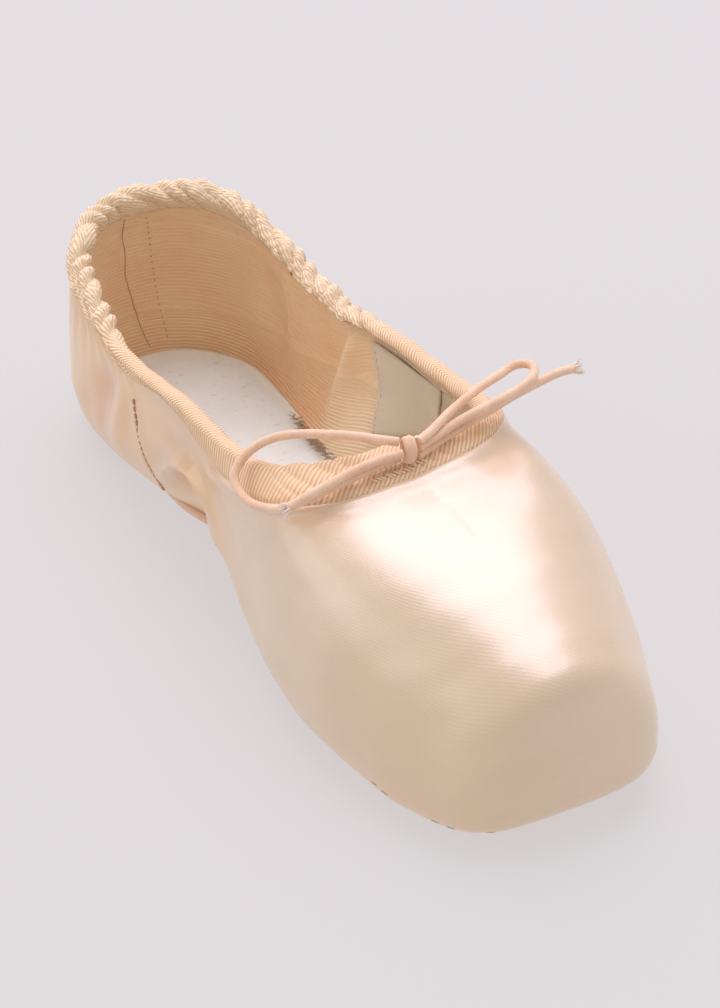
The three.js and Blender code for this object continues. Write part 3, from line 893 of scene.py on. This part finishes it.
def casingFinish():
    finish = Finish("drawnCasing", Sheen_Weight=0.06, Sheen_Roughness=0.4, Specular_IOR_Level=0.35)
    around, across, _ = finish.parts(finish.flat())
    place = finish.place()
    drawn = finish.value("drawn")
    wander = finish.noise(place, 180.0, 2.0) * 2.6
    # the twill slants both ways from the rim, and lies down along the tape where that is drawn up
    twill = (around + across.size() * (0.8 + 0.7 * drawn) + wander * drawn).wave(casing["twillPitch"])
    fine = (around * 0.9 - across * 0.2).wave(casing["threadPitch"])
    raised = finish.value("raised")
    # painted shade in the twill's valleys and painted highlight on its crests, over the tape's own cream
    # threads
    valley = finish.blend(drawn * 0.6, casing["deep"], casing["peach"])
    colour = finish.blend(twill.between(-0.9, 0.7), valley, casing["peach"])
    crest = (twill.between(0.1, 1.0) * raised * (0.62 + 0.38 * drawn)).clamped()
    colour = finish.blend(crest, colour, casing["pale"])
    tone = finish.noise(place, 60.0, 2.0)
    colour = finish.blend(tone.between(0.5, 0.75) * 0.3, colour, casing["peach"])
    height = twill + fine * 0.2 + finish.noise(place, 1800.0, 2.0) * 0.2
    return finish.surface(Base_Color=colour, Roughness=0.55, Normal=finish.bump(height, 0.00009, 0.9))


# places and normals on the ring at given distances below the rim
def readDown(ring, wanted):
    found = [np.empty((*wanted.shape, 3)) for _ in range(2)]
    for k in range(ring.columns):
        for table, source in zip(found, (ring.points, ring.normals)):
            for axis in range(3):
                table[k, :, axis] = np.interp(wanted[k], ring.down[k, ::-1], source[k, ::-1, axis])
    return found[0], found[1] / np.linalg.norm(found[1], axis=2)[..., None]


def makeCasing():
    steps = {"margin": 1, "feather": 2, "wall": casing["wall"], "casing": casing["outer"]}
    ring = Ring(casing["around"], steps, 120)
    width = casingReach(ring)
    outerPlace, outerNormal = readDown(ring, width[:, None] * np.linspace(1, 0, casing["outer"] + 1))
    rim, rimNormal, ahead = ring.points[:, -1], ring.normals[:, -1], ring.ahead
    near, far, wall = shoe["gap"], shoe["gap"] + shoe["tape"], shoe["wall"]
    radius = wall / 2 + far
    turn = np.linspace(0, math.pi, casing["fold"] + 2)[1:-1]
    middle = rim - rimNormal * wall / 2
    outwards = rimNormal[:, None] * np.cos(turn)[None, :, None]
    upwards = ahead[:, None] * np.sin(turn)[None, :, None]
    fold = middle[:, None] + outwards * radius + upwards * (far + 0.25)
    innerDown = casing["innerWidth"] * np.linspace(0, 1, casing["inner"] + 1)
    innerPlace, innerNormal = readDown(ring, innerDown[None] * np.ones((ring.columns, 1)))
    thin = near + shoe["tape"] * np.interp(np.arange(casing["outer"] + 1), *casing["edge"])
    outer = outerPlace + outerNormal * thin[None, :, None]
    inner = innerPlace - innerNormal * (wall + far)
    skin = np.concatenate([outer, fold, inner], axis=1)
    normals = np.concatenate([outerNormal, outwards + upwards, -innerNormal], axis=1)
    hops = np.linalg.norm(np.diff(skin, axis=1), axis=2)
    across = np.concatenate([np.zeros((len(skin), 1)), np.cumsum(hops, axis=1)], axis=1)
    overRim = across - across[:, casing["outer"] + 1 + casing["fold"] // 2][:, None]
    # ripples where the tape is drawn up: sharp valleys between rounded puffs, slanted both ways from the rim
    around = ring.around[:, None]
    drawn = scrunchAt(ring.fromHeel)[:, None]
    slant = 0.13 * overRim + 0.5 * meander(around / 5 + overRim * 0.1, 31)
    phase = around / casing["ripple"] + slant + 0.55 * meander(around / 11, 32)
    puff = np.abs(np.sin(math.pi * phase)) ** 0.6
    finer = around / casing["finePitch"] - 0.3 * overRim + 0.7 * meander(around / 6, 35)
    second = np.abs(np.sin(math.pi * finer))
    edges = smooth(0, 3.0, across) * smooth(0, 3.0, across[:, -1:] - across)
    swell = casing["puff"] * (puff - 0.6) + 0.35 * (second - 0.5) + 0.3 * softNoise(around, overRim, 9, 33)
    rise = (swell * (0.25 + 0.75 * edges)) * drawn
    calm = 0.12 * softNoise(around, overRim, 18, 34) * (1 - drawn)
    skin = skin + normals * (rise + calm)[..., None]
    # the rim itself wavers, and the lower edge with it
    waver = casing["rimWave"] * (0.6 * meander(around / 4.2, 41) + 0.4 * (puff - 0.5)) * drawn
    weight = np.exp(-(overRim / 7) ** 2)
    skin = skin + ahead[:, None] * (waver * weight)[..., None]
    back = np.linspace(innerPlace.shape[1] - 1, 0, 4).astype(int)
    behindInner = innerPlace[:, back] - innerNormal[:, back] * (wall + near)
    front = np.linspace(casing["outer"], 0, 4).astype(int)
    behindOuter = outerPlace[:, front] + outerNormal[:, front] * (near - 0.1)
    table = np.concatenate([skin, behindInner, behindOuter], axis=1)
    hidden = np.ones((len(skin), behindInner.shape[1] + behindOuter.shape[1]))
    along = np.concatenate([overRim, overRim[:, -1:] + np.cumsum(hidden, axis=1)], axis=1)
    # threads are drawn out along the tape where it is gathered, so they're spaced by a running total
    gathered = gatheredAt(ring.fromHeel)
    hop = np.diff(np.concatenate([ring.around, [ring.perimeter]])) * (1 - casing["lieDown"] * gathered)
    threads = np.concatenate([[0], np.cumsum(hop)])[:, None]
    along = wrapped(np.concatenate([along, along[:, :1]], axis=1))
    piece = gridPiece("casing", table, True, True, np.stack(np.broadcast_arrays(threads, along), axis=-1))
    _, index = NearestReader(skin).query(readPlaces(piece))
    addValues(piece, "drawn", np.broadcast_to(gathered[:, None], across.shape).ravel()[index])
    # how far each place stands proud: the crests and the rim get the pale threads and a painted highlight
    crest = np.clip(0.7 + np.exp(-(overRim / 3.2) ** 2) * 0.3 + drawn * (puff - 0.5) * 0.9, 0, 1)
    addValues(piece, "raised", crest.ravel()[index])
    finishPiece(piece, casingFinish(), "tape", "binding")
    return ring, skin, normals


casingRing, casingSkin, casingNormals = makeCasing()
print("casing drawn up")

sock = {
    "rows": 40, "around": 160, "inset": 1.1, "turnUp": 1.6, "turnWidth": 1.7, "edgeWidth": 2.5,
    "grey": (0.77, 0.82, 0.80), "pale": (0.86, 0.92, 0.91), "warm": (0.80, 0.72, 0.60),
    "grit": (0.45, 0.42, 0.38),
}
sole = {
    "rows": 26, "around": 160, "waistShow": 4.0, "waistAt": (36, 22),
    "buff": (0.80, 0.50, 0.35), "pale": (0.88, 0.62, 0.46), "scuff": (0.55, 0.38, 0.28),
}


def suedeFinish():
    finish = Finish("greySuede", Sheen_Weight=0.35, Sheen_Roughness=0.6, Specular_IOR_Level=0.2)
    place = finish.place()
    nap = finish.noise(place, 900.0, 3.0)
    tone = finish.noise(place, 30.0, 4.0)
    grit = finish.noise(place, 420.0, 2.0)
    colour = finish.blend(tone.between(0.3, 0.7), sock["grey"], sock["pale"])
    colour = finish.blend(grit.between(0.58, 0.75) * 0.3, colour, sock["grit"])
    colour = finish.blend(finish.value("edge") * 0.5, colour, sock["warm"])
    return finish.surface(Base_Color=colour, Roughness=0.9, Normal=finish.bump(nap + tone * 2.0, 0.0002, 0.6))


def soleFinish():
    finish = Finish("soleLeather", Specular_IOR_Level=0.35, Sheen_Weight=0.1)
    place = finish.place()
    grain = finish.noise(place, 700.0, 4.0)
    tone = finish.noise(place, 24.0, 3.0)
    scuff = finish.noise(finish.stretched(place, (260.0, 60.0, 200.0)), 1.0, 3.0, 0.7)
    colour = finish.blend(tone.between(0.3, 0.7), sole["buff"], sole["pale"])
    colour = finish.blend(scuff.between(0.55, 0.75) * 0.35, colour, sole["scuff"])
    return finish.surface(Base_Color=colour, Roughness=0.6 + scuff * 0.2,
                          Normal=finish.bump(grain + scuff, 0.0002, 0.5))


# a flat plate that follows the outline: rows run from the spine to the edge
def plateRows(count, inset, rows):
    right = outlineHalf(count)
    places = np.concatenate([right, right[-2:0:-1] * np.array([-1, 1])])
    half = shoe["length"] / 2
    spineY = np.clip(places[:, 1], -half + shoe["toeSpine"], half - shoe["heelSpine"])
    spine = np.stack([np.zeros(len(places)), spineY], axis=1)
    edge = places + inward(places) * inset(places)[:, None]
    share = np.linspace(0, 1, rows + 1)
    return places, spine[:, None] + (edge - spine)[:, None] * share[None, :, None]


def makeSock():
    def inset(places):
        return tuckAt(shareOf(places[:, 1])) + sock["inset"]
    _, plan = plateRows(sock["around"], inset, sock["rows"])
    top = bottomLevel(shareOf(plan[..., 1])) + shoe["wall"] + shoe["gap"] + shoe["insole"]
    reach = np.linalg.norm(plan[:, -1:] - plan, axis=2)
    rise = sock["turnUp"] * np.exp(-(reach / sock["turnWidth"]) ** 2)
    rise += 0.12 * softNoise(plan[..., 0], plan[..., 1], 30, 51)
    upper = np.concatenate([plan, (top + rise)[..., None]], axis=2)
    lower = np.concatenate([plan[:, ::-8], (top - shoe["insole"] + 0.1)[:, ::-8, None]], axis=2)
    lower[:, 0, 2] += sock["turnUp"] * 0.6
    piece = gridPiece("sock", np.concatenate([upper, lower], axis=1), True)
    weldSpine(piece)
    _, index = NearestReader(upper).query(readPlaces(piece))
    addValues(piece, "edge", np.exp(-(reach.ravel()[index] / sock["edgeWidth"]) ** 2))
    finishPiece(piece, suedeFinish(), "insole", "insole")
    return upper


def makeSole():
    def inset(places):
        share = shareOf(places[:, 1])
        toe = np.clip((floorLine["toe"] - share) / floorLine["toe"], 0, 1)
        middle, width = sole["waistAt"]                        # the leather's edge shows at the waist
        waist = np.exp(-((places[:, 1] - middle) / width) ** 2)
        return tuckAt(share) + shoe["soleInset"] + shoe["soleSetback"] * toe ** 2 - sole["waistShow"] * waist
    places, plan = plateRows(sole["around"], inset, sole["rows"])
    under = lift(shareOf(plan[..., 1]))
    reach = np.linalg.norm(plan[:, -1:] - plan, axis=2)
    bottom = under + 0.5 * np.exp(-(reach / 0.7) ** 2)
    top = under + shoe["sole"] - 0.35 * np.exp(-(reach / 0.6) ** 2) + 0.2
    lower = np.concatenate([plan, bottom[..., None]], axis=2)
    upper = np.concatenate([plan[:, ::-1], top[:, ::-1, None]], axis=2)
    middle = (lower[:, -1:] + upper[:, :1]) / 2
    middle[..., :2] -= inward(places)[:, None] * 0.3
    piece = gridPiece("soleLeather", np.concatenate([lower, middle, upper], axis=1), True)
    weldSpine(piece)
    finishPiece(piece, soleFinish(), "sole_leather", "outsole")


# the plates' middle line is where the two halves meet
def weldSpine(piece):
    bm = bmesh.new()
    bm.from_mesh(piece.data)
    bmesh.ops.remove_doubles(bm, verts=[vert for vert in bm.verts if abs(vert.co.x) < 1e-7], dist=1e-6)
    bmesh.ops.recalc_face_normals(bm, faces=bm.faces[:])
    bm.to_mesh(piece.data)
    bm.free()


sockSkin = makeSock()
makeSole()
print("sock and sole laid")


# rows of stitches: each a short rounded thread lying on a surface
def stitchRow(name, places, normals, directions, length, thick, dip, material, slot):
    bm = bmesh.new()
    for place, normal, direction in zip(places, normals, directions):
        normal = Vector(normal).normalized()
        along = Vector(direction)
        along = (along - normal * along.dot(normal)).normalized()
        side = normal.cross(along)
        made = bmesh.ops.create_uvsphere(bm, u_segments=6, v_segments=5, radius=1)["verts"]
        turn = Matrix((side * thick / 2, normal * thick / 2, along * length / 2)).transposed().to_4x4()
        bmesh.ops.transform(bm, verts=made, matrix=Matrix.Translation(Vector(place) - normal * dip) @ turn)
    bmesh.ops.scale(bm, vec=(mm, mm, mm), verts=bm.verts[:])
    return finishPiece(meshPiece(name, bm), material, slot)


def alongLine(line, spacing):
    line = np.array(line, float)
    travelled = travelledAlong(line)
    where = np.arange(spacing / 2, travelled[-1], spacing)
    return np.stack([np.interp(where, travelled, line[:, axis]) for axis in range(3)], axis=1)


# a skin's nearest points and normals to given places
def closest(skin, normals, where):
    _, index = NearestReader(skin).query(where)
    return skin.reshape(-1, 3)[index], normals.reshape(-1, 3)[index]


# a line's points dropped on a skin, then eased so that the threads lie in one run
def laidOn(skin, normals, where):
    places, outward = closest(skin, normals, where)
    for _ in range(10):
        places[1:-1] = (places[:-2] + 2 * places[1:-1] + places[2:]) / 4
    return places, outward, np.gradient(places, axis=0)


def skinNormals(skin):
    along = np.roll(skin, -1, axis=0) - np.roll(skin, 1, axis=0)
    normals = np.cross(along, np.gradient(skin, axis=1))
    return normals / np.maximum(np.linalg.norm(normals, axis=2), 1e-9)[..., None]


# each row: spacing, then length and thickness of a stitch, then how deep it lies in the cloth
stitches = {
    "seam": (2.1, 1.9, 0.9, -0.15), "heelSeam": (2.2, 1.6, 0.35, 0.15), "casing": (2.3, 1.7, 0.36, 0.05),
    "tucks": (2.6, 0.5, 0.1), "back": (0.7, 1.2, 0.27, -0.12), "dots": (2.0, 0.7, 0.34, -0.12),
    "tacks": (2.3, 0.55, -0.3), "label": (1.9, 1.1, 0.34, -0.1),
}
satinNormals = skinNormals(satinSkin)
liningNormals = -skinNormals(liningSkin)


def sewSeams():
    pinkThread = threadFinish("pinkBrownThread", (0.66, 0.34, 0.26), (0.42, 0.2, 0.15))
    peachThread = threadFinish("peachThread", (0.95, 0.76, 0.6), (0.78, 0.52, 0.36))
    spacing, *size = stitches["seam"]
    for side in ("near", "far"):
        where = alongLine(onSkin(satinSkin, side, sideSeam), spacing)
        stitchRow(side + "SeamStitches", *laidOn(satinSkin, satinNormals, where), *size, pinkThread, "satin")
    spacing, *size = stitches["heelSeam"]
    where = alongLine(onSkin(satinSkin, "heel", backSeam), spacing)
    places, normals = closest(satinSkin, satinNormals, where)
    stitchRow("heelSeamStitches", places, normals, np.gradient(where, axis=0), *size, peachThread, "satin")
    # the casing's two rows of machine stitches, outside and inside
    spacing, *size = stitches["casing"]
    for name, row in (("casingStitchesOut", 1), ("casingStitchesIn", casingSkin.shape[1] - 2)):
        wanted = np.arange(0, casingRing.perimeter, spacing)
        index = np.searchsorted(casingRing.around, wanted).clip(0, casingRing.columns - 1)
        lie = casingSkin[(index + 1) % casingRing.columns, row] - casingSkin[index - 1, row]
        stitchRow(name, casingSkin[index, row], casingNormals[index, row], lie, *size, peachThread, "tape")


toeTucks = [
    (-36, -84.5, 6), (-35.5, -87.5, 5.5), (-29, -101, 5), (-26.5, -104.5, 5), (-20, -112, 5),
    (19, -112, 4.5), (31, -95, 4.5),
]


# dark little slivers where the satin is tucked under the tip: painted shade of the tuck openings, with some
# brown thread
def sewTucks():
    dark = threadFinish("tuckShade", (0.62, 0.38, 0.24), (0.42, 0.24, 0.14))
    places, normals = closest(satinSkin, satinNormals, toeTucks)
    stitchRow("toeTucks", places, normals, np.cross(normals, (0, 0, 1)), *stitches["tucks"], dark, "satin")


# seams of the inside, on the lining: (x, z) at the heel
insideHeel = 113
insideSeams = {
    "back": [(-4.2, 52), (-3.2, 33), (-0.4, 16.3), (1.8, 8.5)],
    "dots": [(3, 52), (4.1, 38.5), (6, 22.6), (8.7, 10.1)],
}
frayed = {
    "tries": 300, "spread": (42, 9), "from": 22, "to": 60, "reach": (1.0, 2.8), "cone": (4, 0.13, 0.05),
}


def sewInside():
    dark = threadFinish("brownThread", (0.62, 0.40, 0.22), (0.48, 0.30, 0.16))
    cream = threadFinish("creamThread", (1.0, 0.86, 0.66), (0.88, 0.62, 0.40))
    fuzz = threadFinish("frayedThread", (0.66, 0.52, 0.38), (0.30, 0.2, 0.12))
    for name, line in insideSeams.items():
        spacing, *size = stitches[name]
        line, _ = closest(liningSkin, liningNormals, [(x, insideHeel, z) for x, z in line])
        laid = laidOn(liningSkin, liningNormals, alongLine(line, spacing))
        stitchRow("lining" + name.capitalize(), *laid, *size, dark, "insole")
    # zigzag bar tacks on the casing under the knot
    turns = [1 if k % 2 else -1 for k in range(24)]
    where = [(-13 + 0.62 * k, -45.2 + 0.1 * k + 1.1 * turn, 60.5) for k, turn in enumerate(turns)]
    lie = [(0.7, turn, 0) for turn in turns]
    stitchRow("barTacks", *closest(casingSkin, casingNormals, where), lie, *stitches["tacks"], cream, "tape")
    # frayed canvas along the sock's far edge
    draw = random.Random(77)
    reader = NearestReader(sockSkin)
    bm = bmesh.new()
    for _ in range(frayed["tries"]):
        y = draw.gauss(*frayed["spread"])
        if not frayed["from"] < y < frayed["to"]:
            continue
        _, index = reader.query([(30, y, 9)])
        shift = Vector((draw.uniform(-1.6, 0.6), 0, draw.uniform(-0.5, 0.4)))
        root = Vector(sockSkin.reshape(-1, 3)[index[0]]) + shift
        tilt = Vector((-1, draw.uniform(-0.9, 0.5), draw.uniform(0.1, 0.9))).normalized()
        reach = draw.uniform(*frayed["reach"])
        addSpike(bm, root, tilt, reach, *frayed["cone"])
    bmesh.ops.scale(bm, vec=(mm, mm, mm), verts=bm.verts[:])
    finishPiece(meshPiece("frayedEdge", bm, soft=False), fuzz, "insole")


sewSeams()
sewTucks()
sewInside()
print("seams sewn")

# a sewn patch that lies on the far lining, left blank: corners are (y, z), from the heel's upper one around
label = {
    "corners": [(31, 45), (-2, 47.5), (2, 31), (22, 22.5)], "wide": 24, "tall": 14,
    "raise": 1.0, "lean": 0.45, "thick": 0.35, "softness": 4,
    "colour": (0.86, 0.77, 0.62), "shade": (0.66, 0.57, 0.43),
}


def makeLabel():
    flat = liningSkin.reshape(-1, 3)
    far = flat[flat[:, 0] > 10]
    across = np.linspace(0, 1, label["wide"] + 1)[:, None, None]
    down = np.linspace(0, 1, label["tall"] + 1)[None, :, None]
    a, b, c, d = (np.array(corner, float) for corner in label["corners"])
    places = (a * (1 - across) + b * across) * (1 - down) + (d * (1 - across) + c * across) * down
    gap = ((places[:, :, None] - far[None, None, :, 1:]) ** 2).sum(axis=-1)
    weight = np.exp(-gap / label["softness"]) + 1e-12
    x = (weight * far[:, 0]).sum(axis=-1) / weight.sum(axis=-1)
    x -= label["raise"] * (1 - label["lean"] * across[..., 0])
    front = np.concatenate([x[..., None], places], axis=-1)
    back = front + np.array([label["thick"], 0, 0])
    piece = gridPiece("liningLabel", np.concatenate([front, back[:, ::-1]], axis=1), False, True, capped=True)
    finish = Finish("wovenLabel", Sheen_Weight=0.3, Specular_IOR_Level=0.3)
    place = finish.place()
    weave = finish.noise(place, 1400.0, 1.0)
    tone = finish.noise(place, 70.0, 2.0)
    colour = finish.blend(tone * 0.5 + weave * 0.3, label["shade"], label["colour"])
    finish.surface(Base_Color=colour, Roughness=0.7, Normal=finish.bump(weave, 0.0001, 0.5))
    finishPiece(piece, finish.material, "tape")
    spacing, *size = stitches["label"]
    edge = alongLine(front[1], spacing)
    outward = np.tile([-1.0, 0, 0], (len(edge), 1))
    cream = threadFinish("labelThread", (0.95, 0.88, 0.76), (0.8, 0.68, 0.5))
    stitchRow("labelStitches", edge, outward, np.gradient(edge, axis=0), *size, cream, "tape")


makeLabel()
print("label in")

studio = {
    "floor": 40.0, "paper": ((0.17, 0.166, 0.17), (0.176, 0.17, 0.175)), "glow": (0.77, 0.74, 0.75),
    "glowStrength": 0.72, "sky": (1.0, 0.975, 0.965, 1), "skyStrength": 0.58, "aim": (0, -10, 25),
}


def areaLight(name, direction, distance, size, power, colour):
    lamp = bpy.data.lights.new(name, "AREA")
    lamp.shape = "RECTANGLE"
    lamp.size, lamp.size_y = size
    lamp.energy = power
    lamp.color = colour
    piece = linked(name, lamp)
    direction = Vector(direction).normalized()
    piece.location = Vector(studio["aim"]) * mm + direction * distance
    piece.rotation_euler = direction.to_track_quat("Z", "Y").to_euler()


def setStudio():
    bm = bmesh.new()
    bmesh.ops.create_grid(bm, x_segments=2, y_segments=2, size=studio["floor"])
    floor = meshPiece("floor", bm, soft=False)
    paper = Finish("palePaper", Specular_IOR_Level=0.1)
    tone = paper.noise(paper.place(), 3.0, 2.0)
    paper.surface(Base_Color=paper.blend(tone, *studio["paper"]), Roughness=0.95,
                  Emission_Color=studio["glow"], Emission_Strength=studio["glowStrength"])
    floor.data.materials.append(paper.material)
    world = bpy.data.worlds.new("studio")
    world.use_nodes = True
    sky = world.node_tree.nodes["Background"]
    sky.inputs["Color"].default_value = studio["sky"]
    sky.inputs["Strength"].default_value = studio["skyStrength"]
    bpy.context.scene.world = world
    areaLight("softOverhead", (0.16, 0.20, 0.96), 1.5, (1.2, 1.2), 11.5, (1.0, 0.89, 0.99))
    areaLight("softBehind", (0.27, 0.73, 0.64), 1.6, (1.8, 1.2), 9.6, (1.0, 0.885, 1.0))
    areaLight("softLeft", (-0.86, 0.35, 0.42), 1.6, (1.4, 1.0), 3.0, (1.0, 0.97, 0.92))
    bpy.context.scene.view_settings.view_transform = "Standard"
    bpy.context.scene.view_settings.look = "None"


setStudio()
print("studio set")
